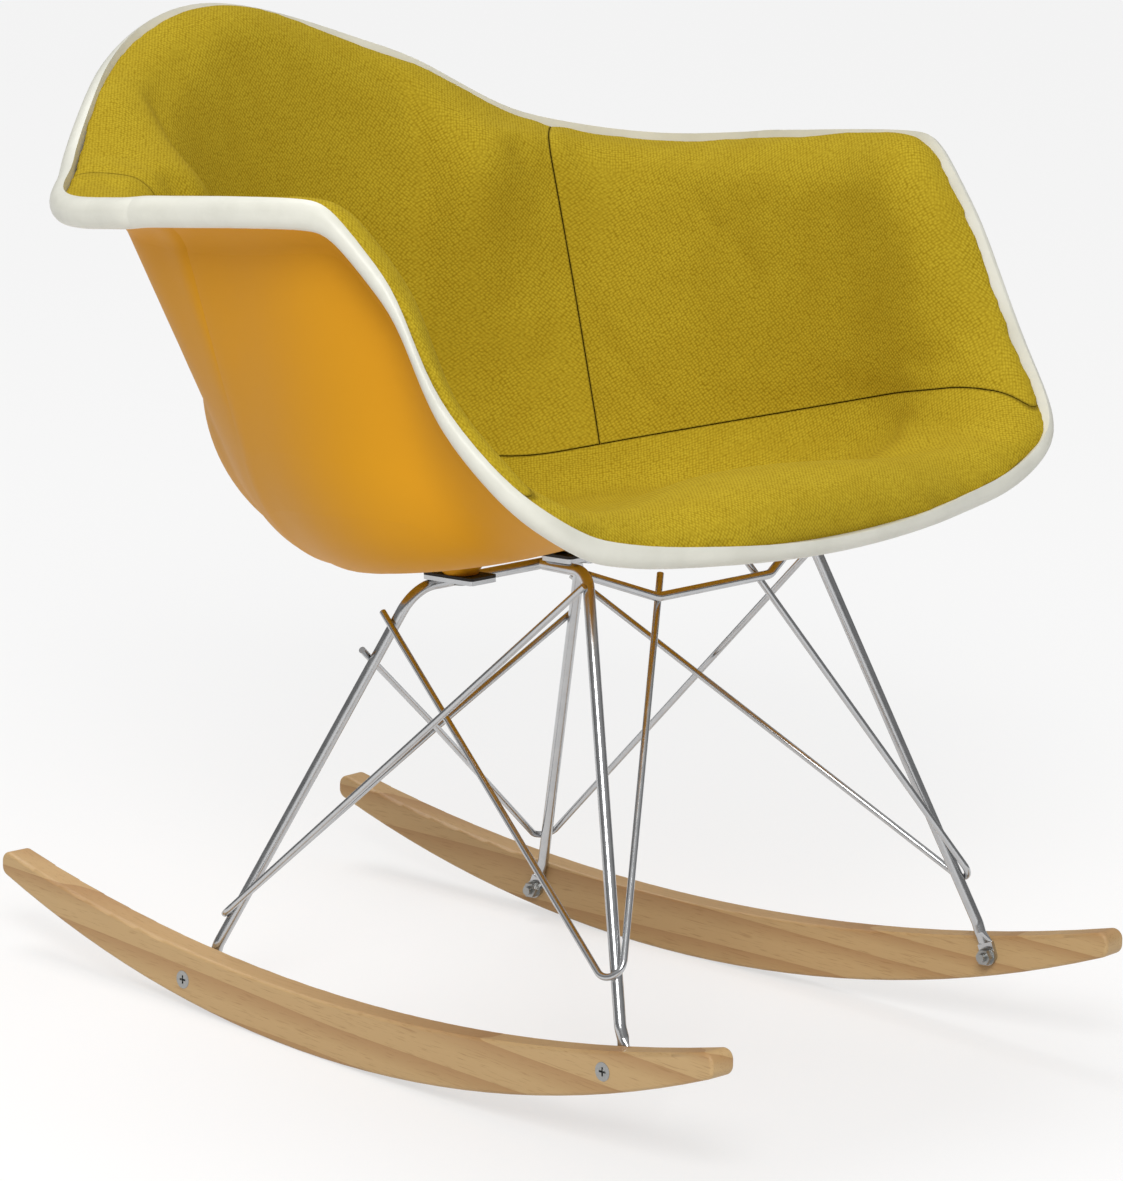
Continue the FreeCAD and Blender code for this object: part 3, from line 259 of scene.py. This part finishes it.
# black moulded rubber pads: matt, with a light bloom
rubberFinish = {"black": "#161617", "bloom": "#2a2a2b", "cloud": 260, "relief": 0.0002, "rough": 0.75}


def padRubber():
    material, tree, shader, place = newMaterial("padRubber")
    bloom = addNode(tree, "ShaderNodeTexNoise", {"Scale": rubberFinish["cloud"], "Detail": 3},
                    {"Vector": place})
    tint = addNode(tree, "ShaderNodeMix", {"data_type": "RGBA", 6: linear(rubberFinish["black"]),
                                           7: linear(rubberFinish["bloom"])}, {0: bloom.outputs["Fac"]})
    tree.links.new(tint.outputs[2], shader.inputs["Base Color"])
    bump = addNode(tree, "ShaderNodeBump", {"Strength": 0.2, "Distance": rubberFinish["relief"]},
                   {"Height": bloom.outputs["Fac"]})
    tree.links.new(bump.outputs[0], shader.inputs["Normal"])
    shader.inputs["Roughness"].default_value = rubberFinish["rough"]
    return material


# pale ash, matt lacquered: long darker growth lines, fine pores along the grain
# (the rings are in mm; each board is cut from another place of the pattern)
ash = {"pale": "#c6a574", "growth": "#a37546", "pore": "#99703f", "ring": 3.4, "ringRun": 0.07, "drift": 16,
       "wander": 0.03, "pores": 1100, "poreRun": 0.03, "relief": 0.0002, "lacquer": 0.5,
       "leftBoard": (0.31, 0.2, 0.1), "rightBoard": (0, 0, 0)}


def lacqueredAsh(name, offset):
    material, tree, shader, place = newMaterial(name)
    along = addNode(tree, "ShaderNodeMapping", {"Location": offset, "Scale": (1, ash["ringRun"], 1)},
                    {"Vector": place})
    drift = addNode(tree, "ShaderNodeTexNoise", {"Scale": ash["drift"], "Detail": 2, "Roughness": 0.45},
                    {"Vector": along.outputs[0]})
    bend = addNode(tree, "ShaderNodeVectorMath", {"operation": "SCALE", "Scale": ash["wander"]},
                   {0: drift.outputs["Color"]})
    bent = addNode(tree, "ShaderNodeVectorMath", {"operation": "ADD"},
                   {0: along.outputs[0], 1: bend.outputs[0]})
    rings = addNode(tree, "ShaderNodeTexWave", {"bands_direction": "Z", "wave_profile": "SAW",
                                                "Scale": 1000 / ash["ring"] / 20, "Distortion": 1.2,
                                                "Detail": 2, "Detail Scale": 1.5},
                    {"Vector": bent.outputs[0]})
    fine = addNode(tree, "ShaderNodeMapping", {"Location": offset, "Scale": (1, ash["poreRun"], 1)},
                   {"Vector": place})
    pores = addNode(tree, "ShaderNodeTexNoise", {"Scale": ash["pores"], "Detail": 2},
                    {"Vector": fine.outputs[0]})
    line = addNode(tree, "ShaderNodeMapRange", {"From Min": 0.45, "From Max": 1.0, "To Max": 0.6},
                   {0: rings.outputs["Fac"]})
    ground = addNode(tree, "ShaderNodeMix", {"data_type": "RGBA", 6: linear(ash["pale"]),
                                             7: linear(ash["growth"])}, {0: line.outputs[0]})
    dark = addNode(tree, "ShaderNodeMapRange", {"From Min": 0.56, "From Max": 0.75, "To Max": 0.5},
                   {0: pores.outputs["Fac"]})
    colour = addNode(tree, "ShaderNodeMix", {"data_type": "RGBA", 7: linear(ash["pore"])},
                     {0: dark.outputs[0], 6: ground.outputs[2]})
    tree.links.new(colour.outputs[2], shader.inputs["Base Color"])
    bump = addNode(tree, "ShaderNodeBump", {"Strength": 0.12, "Distance": ash["relief"], "invert": True},
                   {"Height": pores.outputs["Fac"]})
    tree.links.new(bump.outputs[0], shader.inputs["Normal"])
    shader.inputs["Roughness"].default_value = ash["lacquer"]
    shader.inputs["IOR"].default_value = 1.5
    return material


wool = woolBasketWeave()
plastic = mouldedShellPlastic()
vinyl = extrudedVinyl()
chrome = satinChrome()
zinc = zincPlate()
rubber = padRubber()
finishes = {"seat_shell": plastic, "edge_trim": vinyl, "threaded_inserts": zinc, "spacer_pads": rubber,
            "mount_plates": chrome, "mount_screws": zinc, "rear_frame": chrome, "left_front_leg": chrome,
            "right_front_leg": chrome, "front_cross_wire": chrome, "left_front_brace": chrome,
            "right_front_brace": chrome, "left_rear_brace": chrome, "right_rear_brace": chrome,
            "left_rocker": lacqueredAsh("leftRockerAsh", ash["leftBoard"]),
            "right_rocker": lacqueredAsh("rightRockerAsh", ash["rightBoard"]),
            "rocker_screws": zinc, "rocker_washers": zinc, "rocker_nuts": zinc}
for node, material in finishes.items():
    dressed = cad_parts[node]
    dressed.data.materials.clear()
    dressed.data.materials.append(material)
print("solids dressed")

# Upholstery: one padded lining on the shell's inside is blown up a little by cloth simulation,
# held along its seams, and then cut there into its panels

# what the lining is made with, in metres: the shell's faces that a pad lies on (near, opposite), its
# rim (even, reach, over), its thickness and mesh, how far the cloth may swell, how the seams are
# drawn in and over what lengths the seat seam's corners are eased
lining = {"near": 0.004, "opposite": -0.7, "even": 12, "reach": 0.015, "over": 0.0035,
          "clear": 0.0010, "thick": 0.0098, "voxel": 0.005, "ease": 5,
          "pressure": 3, "steps": 20, "cap": 0.0028, "calm": 8, "back": 0.003, "ramp": 0.005,
          "seam": 0.0004, "valley": 0.0022, "valleyWidth": 0.0055, "seamHold": 0.003, "seamRamp": 0.012,
          "corners": (-0.012, -0.006, 0, 0.006, 0.012)}
# the seam round the seat as (along, height) in mm, and one back seam by three of its points, mirrored
# on the other side
seams = {"seat": [(420, 346), (190, 346), (127, 352), (74, 369), (-107, 424), (-165, 438), (-200, 438),
                  (-226, 424), (-300, 424)],
         "back": [(163, 96, 365), (195, 176, 532), (238, 224, 576)]}


def treeOf(node):
    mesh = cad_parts[node].data
    return BVHTree.FromPolygons([v.co.copy() for v in mesh.vertices],
                                [tuple(polygon.vertices) for polygon in mesh.polygons])


def widenRim(shape):
    # the cloth's outer edge runs evenly along the edging and a little under it, to meet it once smoothed
    rim = [edge for edge in shape.edges if edge.is_boundary]
    ways = {}
    for edge in rim:
        middle = (edge.verts[0].co + edge.verts[1].co) / 2
        along = (edge.verts[1].co - edge.verts[0].co).normalized()
        way = middle - edge.link_faces[0].calc_center_median()
        way = (way - along * way.dot(along)).normalized()
        for vertex in edge.verts:
            ways[tuple(vertex.co)] = ways.get(tuple(vertex.co), Vector((0, 0, 0))) + way
    grown = bmesh.ops.extrude_edge_only(shape, edges=rim)["geom"]
    outer = [vertex for vertex in grown if isinstance(vertex, bmesh.types.BMVert)]
    ring = {}
    for vertex in outer:
        beside = [edge.other_vert(vertex) for edge in vertex.link_edges if edge.is_boundary]
        ring[vertex] = (beside[0], beside[-1])
    outwards = {vertex: ways[tuple(vertex.co)].normalized() for vertex in outer}
    trim = treeOf("edge_trim")
    for _ in range(lining["even"]):
        places = {vertex: vertex.co * 0.5 + (ring[vertex][0].co + ring[vertex][1].co) * 0.25
                  for vertex in outer}
        outwards = {vertex: (outwards[vertex] * 2 + outwards[ring[vertex][0]]
                             + outwards[ring[vertex][1]]).normalized() for vertex in outer}
        for vertex, place in places.items():
            touched = trim.find_nearest(place, lining["reach"])[0]
            vertex.co = touched or place
    for vertex in outer:
        vertex.co += outwards[vertex] * lining["over"]


def keepLargest(shape):
    # stray faces outside the padding's own surface are dropped
    groups = []
    left = set(shape.faces)
    while left:
        group = [left.pop()]
        for face in group:
            for edge in face.edges:
                for beside in edge.link_faces:
                    if beside in left:
                        left.remove(beside)
                        group.append(beside)
        groups.append(group)
    groups.sort(key=len)
    for group in groups[:-1]:
        bmesh.ops.delete(shape, geom=group, context="FACES")


def shellInside():
    # the faces of the shell that the padding lies on
    trees = [treeOf(node) for node in ("seat_pad", "back_pad", "left_arm_pad", "right_arm_pad")]
    inside = copyNode("seat_shell", "lining")
    shape = bmesh.new()
    shape.from_mesh(inside.data)
    shape.normal_update()
    bare = []
    for face in shape.faces:
        found = [tree.find_nearest(face.calc_center_median(), lining["near"]) for tree in trees]
        if all(hit[0] is None or hit[1].dot(face.normal) > lining["opposite"] for hit in found):
            bare.append(face)
    bmesh.ops.delete(shape, geom=bare, context="FACES")
    bmesh.ops.remove_doubles(shape, verts=shape.verts, dist=0.0002)
    keepLargest(shape)
    bmesh.ops.holes_fill(shape, edges=[edge for edge in shape.edges if edge.is_boundary], sides=60)
    widenRim(shape)
    shape.to_mesh(inside.data)
    shape.free()
    return inside


def seamHeight(along):
    # height of the seat's seam at this place along the chair, its corners eased
    heights = []
    for shift in lining["corners"]:
        place = (along + shift) * 1000
        for (rear, high), (front, low) in zip(seams["seat"], seams["seat"][1:]):
            if front <= place <= rear:
                heights.append(low + (high - low) * (place - front) / (rear - front))
    return sum(heights) / len(heights) / 1000


def backPlane(side):
    foot, knee, rim = [Vector((x * side, y, z)) / 1000 for x, y, z in seams["back"]]
    rearwards = (knee - foot).cross(rim - knee).normalized()
    if rearwards.y < 0:
        rearwards.negate()
    return knee, rearwards


backPlanes = {1: backPlane(1), -1: backPlane(-1)}


def seamDistance(point):
    high = point.z - seamHeight(point.y)
    if high < 0:
        return -high
    place, rearwards = backPlanes[1 if point.x > 0 else -1]
    return min(high, abs((point - place).dot(rearwards)))


shellTree = treeOf("seat_shell")


def padOut(piece):
    # the face side may swell, the back and the rim stay put, and the seams are drawn in
    held = piece.vertex_groups.new(name="held")
    loose = []
    starts = []
    for vertex in piece.data.vertices:
        nearest, _, _, distance = shellTree.find_nearest(vertex.co)
        share = min(1, max(0, (distance - lining["back"]) / lining["ramp"]))
        away = seamDistance(vertex.co)
        draw = lining["valley"] * 2.718 ** -((away / lining["valleyWidth"]) ** 2) * share
        vertex.co += (nearest - vertex.co).normalized() * draw
        share *= min(1, max(0, (away - lining["seamHold"]) / lining["seamRamp"]))
        loose.append(share)
        starts.append(vertex.co.copy())
        held.add([vertex.index], 1 - share, "REPLACE")
    cloth = piece.modifiers.new("Padding", "CLOTH")
    cloth.settings.quality = 4
    cloth.settings.mass = 0.3
    cloth.settings.use_pressure = True
    cloth.settings.uniform_pressure_force = lining["pressure"]
    cloth.settings.effector_weights.gravity = 0
    cloth.settings.vertex_group_mass = "held"
    cloth.collision_settings.use_collision = False
    for step in range(1, lining["steps"] + 1):
        bpy.context.scene.frame_set(step)
    makeActive(piece)
    bpy.ops.object.modifier_apply(modifier=cloth.name)
    bpy.context.scene.frame_set(1)
    for vertex, start, share in zip(piece.data.vertices, starts, loose):
        moved = vertex.co - start
        if moved.length > lining["cap"]:
            moved *= lining["cap"] / moved.length
        vertex.co = start + moved * share
    applyModifier(piece, "SMOOTH", factor=0.5, iterations=lining["calm"], vertex_group="held",
                  invert_vertex_group=True)
    piece.vertex_groups.clear()
    applyModifier(piece, "SUBSURF", levels=1, render_levels=1)


def cutPanel(whole, name, cuts):
    # the seat's seam is made level for the cut and bent back after it
    piece = bpy.data.objects.new(name, whole.data.copy())
    bpy.context.scene.collection.objects.link(piece)
    for inwards, (place, across) in cuts:
        level = across.z == 1
        if level:
            for vertex in piece.data.vertices:
                vertex.co.z -= seamHeight(vertex.co.y)
        makeActive(piece)
        bpy.ops.object.mode_set(mode="EDIT")
        bpy.ops.mesh.select_all(action="SELECT")
        bpy.ops.mesh.bisect(plane_co=place + across * inwards * lining["seam"], plane_no=across * inwards,
                            clear_inner=True)
        bpy.ops.mesh.fill(use_beauty=True)
        bpy.ops.object.mode_set(mode="OBJECT")
        if level:
            for vertex in piece.data.vertices:
                vertex.co.z += seamHeight(vertex.co.y)
    return piece


def layWeave(piece):
    # how squarely the cloth faces each axis, and how far each point is from the nearest seam
    piece.data.attributes.new("facing", "FLOAT_VECTOR", "POINT")
    piece.data.attributes.new("sewn", "FLOAT", "POINT")
    facing = piece.data.attributes["facing"]
    sewn = piece.data.attributes["sewn"]
    for index, vertex in enumerate(piece.data.vertices):
        shares = [abs(part) ** 8 for part in vertex.normal]
        facing.data[index].vector = [share / sum(shares) for share in shares]
        sewn.data[index].value = seamDistance(vertex.co)


whole = shellInside()
applyModifier(whole, "DISPLACE", strength=lining["clear"], mid_level=0)
applyModifier(whole, "SOLIDIFY", thickness=lining["thick"], offset=1)
applyModifier(whole, "REMESH", mode="VOXEL", voxel_size=lining["voxel"])
applyModifier(whole, "SMOOTH", factor=0.5, iterations=lining["ease"])
print("lining", len(whole.data.polygons), "faces")
padOut(whole)
level = (Vector((0, 0, 0)), Vector((0, 0, 1)))
middle = (Vector((0, 0, 0)), Vector((1, 0, 0)))
panels = {"seatPanel": ("seat_pad", [(-1, level)]),
          "backPanel": ("back_pad", [(1, level), (1, backPlanes[1]), (1, backPlanes[-1])]),
          "leftArmPanel": ("left_arm_pad", [(1, level), (1, middle), (-1, backPlanes[1])]),
          "rightArmPanel": ("right_arm_pad", [(1, level), (-1, middle), (-1, backPlanes[-1])])}
for name, (node, cuts) in panels.items():
    panel = cutPanel(whole, name, cuts)
    layWeave(panel)
    panel.data.materials.append(wool)
    makeActive(panel)
    bpy.ops.object.shade_smooth_by_angle(angle=radians(50))
    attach(panel, "root")
    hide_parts(node)
    print(name, len(panel.data.polygons), "faces")
bpy.data.objects.remove(whole)
print("upholstery laid")

# Floor, light and camera

studio = {"floor": "#fafafa", "floorSize": 60, "bounce": 0.75, "seen": 0.34, "glow": 0.66,
          "ambient": 0.46, "lowSky": 0.4, "highSky": 1.15, "skyFrom": 0.05, "skyTo": 0.85,
          "sun": 1.1, "sunSpread": 32, "sunTurn": (-26, 6, 0),
          "key": 86, "keyAt": (-2.5, -1.9, 2.6), "keyTo": (0, 0, 0.4), "keySize": 1.5}


def paleFloor():
    bpy.ops.mesh.primitive_grid_add(x_subdivisions=4, y_subdivisions=4, size=studio["floorSize"])
    floor = bpy.context.object
    floor.name = "studioFloor"
    material = bpy.data.materials.new("paleFloor")
    material.use_nodes = True
    tree = material.node_tree
    tree.nodes.clear()
    bounce = addNode(tree, "ShaderNodeBsdfDiffuse", {"Color": (studio["bounce"],) * 3 + (1,)})
    shaded = addNode(tree, "ShaderNodeBsdfDiffuse", {"Color": (studio["seen"],) * 3 + (1,)})
    glow = addNode(tree, "ShaderNodeEmission", {"Color": linear(studio["floor"]), "Strength": studio["glow"]})
    lit = addNode(tree, "ShaderNodeAddShader", links={0: shaded.outputs[0], 1: glow.outputs[0]})
    path = addNode(tree, "ShaderNodeLightPath")
    seen = addNode(tree, "ShaderNodeMath", {"operation": "MAXIMUM"},
                   {0: path.outputs["Is Camera Ray"], 1: path.outputs["Is Glossy Ray"]})
    clear = addNode(tree, "ShaderNodeMath", {"operation": "MAXIMUM"},
                    {0: seen.outputs[0], 1: path.outputs["Is Transmission Ray"]})
    mixed = addNode(tree, "ShaderNodeMixShader", links={0: clear.outputs[0], 1: bounce.outputs[0],
                                                        2: lit.outputs[0]})
    addNode(tree, "ShaderNodeOutputMaterial", links={"Surface": mixed.outputs[0]})
    floor.data.materials.append(material)


def studioWorld():
    world = bpy.data.worlds.new("studioWorld")
    bpy.context.scene.world = world
    world.use_nodes = True
    tree = world.node_tree
    tree.nodes.clear()
    direction = addNode(tree, "ShaderNodeTexCoord").outputs["Generated"]
    split = addNode(tree, "ShaderNodeSeparateXYZ", links={0: direction})
    rise = addNode(tree, "ShaderNodeMapRange", {"interpolation_type": "SMOOTHSTEP",
                                                "From Min": studio["skyFrom"], "From Max": studio["skyTo"],
                                                "To Min": studio["lowSky"], "To Max": studio["highSky"]},
                   {0: split.outputs[2]})
    ambient = addNode(tree, "ShaderNodeMath", {"operation": "MULTIPLY", 1: studio["ambient"]},
                      {0: rise.outputs[0]})
    around = addNode(tree, "ShaderNodeBackground", {"Color": (1, 1, 1, 1)}, {"Strength": ambient.outputs[0]})
    pale = addNode(tree, "ShaderNodeBackground", {"Color": linear(studio["floor"]), "Strength": 1})
    path = addNode(tree, "ShaderNodeLightPath")
    seen = addNode(tree, "ShaderNodeMixShader", links={0: path.outputs["Is Camera Ray"], 1: around.outputs[0],
                                                       2: pale.outputs[0]})
    addNode(tree, "ShaderNodeOutputWorld", links={"Surface": seen.outputs[0]})


def addLight(name, kind, energy, **settings):
    lamp = bpy.data.lights.new(name, kind)
    lamp.energy = energy
    for setting, value in settings.items():
        setattr(lamp, setting, value)
    light = bpy.data.objects.new(name, lamp)
    bpy.context.scene.collection.objects.link(light)
    return light


paleFloor()
studioWorld()
overhead = addLight("overhead", "SUN", studio["sun"], angle=radians(studio["sunSpread"]))
overhead.rotation_euler = Euler([radians(turn) for turn in studio["sunTurn"]])
keyLight = addLight("keyLight", "AREA", studio["key"], shape="SQUARE", size=studio["keySize"])
keyLight.location = studio["keyAt"]
shining = Vector(studio["keyTo"]) - Vector(studio["keyAt"])
keyLight.rotation_euler = shining.to_track_quat("-Z", "Y").to_euler()

# the camera of the photograph: a long lens, level, looking down ten degrees on the rocked chair
view = {"place": (-2616.8, -2359.9, 927.1), "down": 10.194, "heading": 48.27, "focal": 5230, "tall": 1181}
camera = bpy.data.cameras.new("photoCamera")
camera.sensor_fit = "AUTO"
camera.sensor_width = 36
camera.lens = view["focal"] / view["tall"] * camera.sensor_width
camera.clip_end = 200
eye = bpy.data.objects.new("photoCamera", camera)
bpy.context.scene.collection.objects.link(eye)
looking = Euler((radians(90 - view["down"]), 0, -radians(view["heading"]))).to_matrix().to_4x4()
eye.matrix_world = atRest @ Matrix.Translation(Vector(view["place"]) / 1000) @ looking
bpy.context.scene.camera = eye
bpy.context.scene.view_settings.view_transform = "Standard"
print("studio ready")
